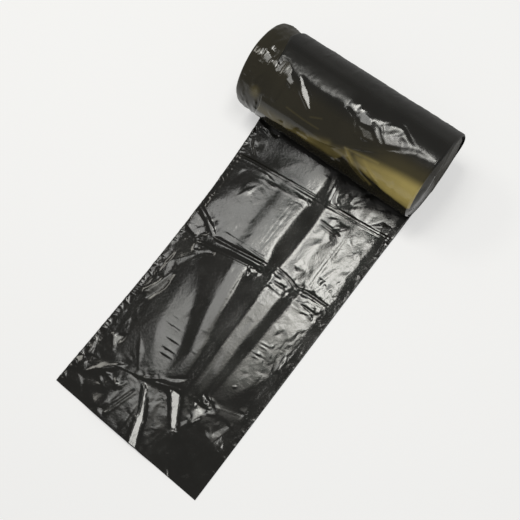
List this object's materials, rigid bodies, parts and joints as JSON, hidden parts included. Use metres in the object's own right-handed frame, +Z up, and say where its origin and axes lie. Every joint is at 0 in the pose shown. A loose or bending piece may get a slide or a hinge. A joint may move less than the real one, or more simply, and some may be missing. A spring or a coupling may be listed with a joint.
{
  "type": "bin bag roll",
  "caption": "Roll of black plastic film sacks, wound without a core, with a length of folded film pulled out flat in front",
  "frame": {"origin": "on the floor under the middle of the roll's axis", "axes": "+X along the roll's axis, +Y away from the loose film, +Z up"},
  "size_m": [0.23, 0.4633, 0.1037],
  "materials": {
    "black_film": "glossy thin film, crumpled"
  },
  "bodies": {
    "root": {"bag_roll": "black_film"}
  },
  "joints": []
}
